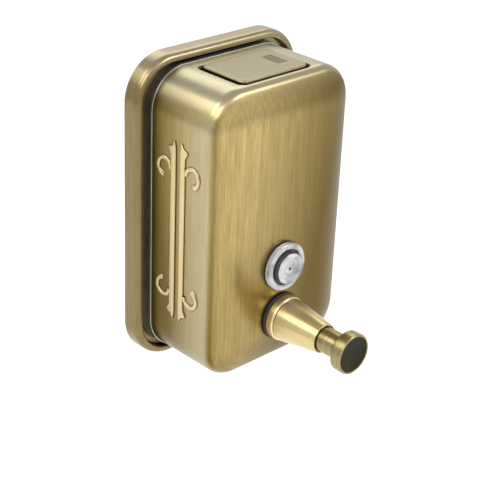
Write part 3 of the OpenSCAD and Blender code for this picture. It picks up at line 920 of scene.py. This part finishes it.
back_pan()
front_shell()
seam_band()
lid_cover()
plain_ring("window_gasket", WINDOW_HOLE, WINDOW_Z, 0.25, SILICONE, "white_silicone")
sight_window()
pump_pieces()
push_button()
outlet_nozzle()
return_spring()

# ---- the fittings behind keep their CAD shape --------------------------------

KEPT = {
    ZINC: ("wall_plate", "hanger"),
    STEEL: ("lid_pin", "outlet_ball", "inlet_ball"),
    BLACK: ("lid_frame", "lid_tray"),
    RUBBER: ("window_washer", "inner_gasket", "rod_seal", "piston_seal"),
    WHITE: ("window_nut", "guide_bush", "pump_barrel", "plunger_rod", "piston", "outlet_seat",
            "inlet_elbow", "dip_tube"),
}
for material, kept in KEPT.items():
    for node in kept:
        dress_cad(node, material)


# ---- stage, light and camera ------------------------------------------------

FLOOR_DROP = 160 * MM           # the dispenser hangs this far above the floor


def studio():
    """Pale floor, soft lights and a plain bright room."""
    bm = bmesh.new()
    bmesh.ops.create_grid(bm, x_segments=1, y_segments=1, size=6)
    mesh = bpy.data.meshes.new("floor")
    bm.to_mesh(mesh)
    bm.free()
    floor = new_object("floor", mesh)
    floor.location.z = cad_box[0].z - FLOOR_DROP
    nodes = Nodes("floor_paper")
    nodes.set(Base_Color=(0.9, 0.9, 0.9, 1), Roughness=0.8)
    dress(floor, nodes.material)
    world = bpy.data.worlds.new("studio")
    bpy.context.scene.world = world
    world.use_nodes = True
    tree = world.node_tree
    direction = tree.nodes.new("ShaderNodeTexCoord")
    parts = tree.nodes.new("ShaderNodeSeparateXYZ")
    height = tree.nodes.new("ShaderNodeMapRange")
    tree.links.new(direction.outputs["Generated"], parts.inputs[0])
    tree.links.new(parts.outputs[2], height.inputs["Value"])
    for socket, value in (("From Min", 0.0), ("From Max", 0.9), ("To Min", 1.1), ("To Max", 0.82)):
        height.inputs[socket].default_value = value
    tree.links.new(height.outputs[0], tree.nodes["Background"].inputs["Strength"])
    tree.nodes["Background"].inputs["Color"].default_value = (1.0, 1.0, 1.0, 1)
    view = bpy.context.scene.view_settings
    view.view_transform = "Standard"
    view.look = "None"


def softbox(name, place, target, size, power):
    """Square or oblong soft light that looks from its place at a target, in metres."""
    data = bpy.data.lights.new(name, "AREA")
    data.shape = "RECTANGLE"
    data.size, data.size_y = size
    data.energy = power
    light = bpy.data.objects.new(name, data)
    light.location = place
    light.rotation_euler = (Vector(target) - Vector(place)).to_track_quat("-Z", "Y").to_euler()
    bpy.context.scene.collection.objects.link(light)


VIEW_TURN, VIEW_LIFT, VIEW_ROLL = 44.78, 26.7, 2.53     # degrees
VIEW_DISTANCE, VIEW_LENS = 691.5, 95.65                 # millimetres
VIEW_TARGET = (5.4, -30.0, -25.9)                       # millimetres


def camera():
    """Looks down at the dispenser from its front left."""
    turn, lift, roll = (math.radians(angle) for angle in (VIEW_TURN, VIEW_LIFT, VIEW_ROLL))
    back = Vector((-math.sin(turn) * math.cos(lift), -math.cos(turn) * math.cos(lift), math.sin(lift)))
    right = Vector((math.cos(turn), -math.sin(turn), 0))
    up = back.cross(right)
    rolled_right = right * math.cos(roll) + up * math.sin(roll)
    rolled_up = up * math.cos(roll) - right * math.sin(roll)
    data = bpy.data.cameras.new("camera")
    data.sensor_width = 36
    data.lens = VIEW_LENS
    data.clip_start, data.clip_end = 0.01, 50
    obj = bpy.data.objects.new("camera", data)
    rotation = Matrix((rolled_right, rolled_up, back)).transposed().to_4x4()
    place = (Vector(VIEW_TARGET) + back * VIEW_DISTANCE) * MM
    obj.matrix_world = Matrix.Translation(place) @ rotation
    bpy.context.scene.collection.objects.link(obj)
    bpy.context.scene.camera = obj


studio()
softbox("key", (-0.8, -0.5, 0.8), (0, 0, 0), (0.6, 0.6), 5.2)
softbox("over_left", (-0.9, 0.5, 0.9), (-0.6, 0.5, -0.3), (0.8, 0.8), 9)
softbox("over_rear", (0.9, 1.0, 1.2), (0.6, 0.7, -0.3), (1.4, 1.0), 9)
softbox("over_front", (0.6, -0.9, 0.8), (0.5, -0.65, -0.3), (0.4, 0.4), 6)
camera()
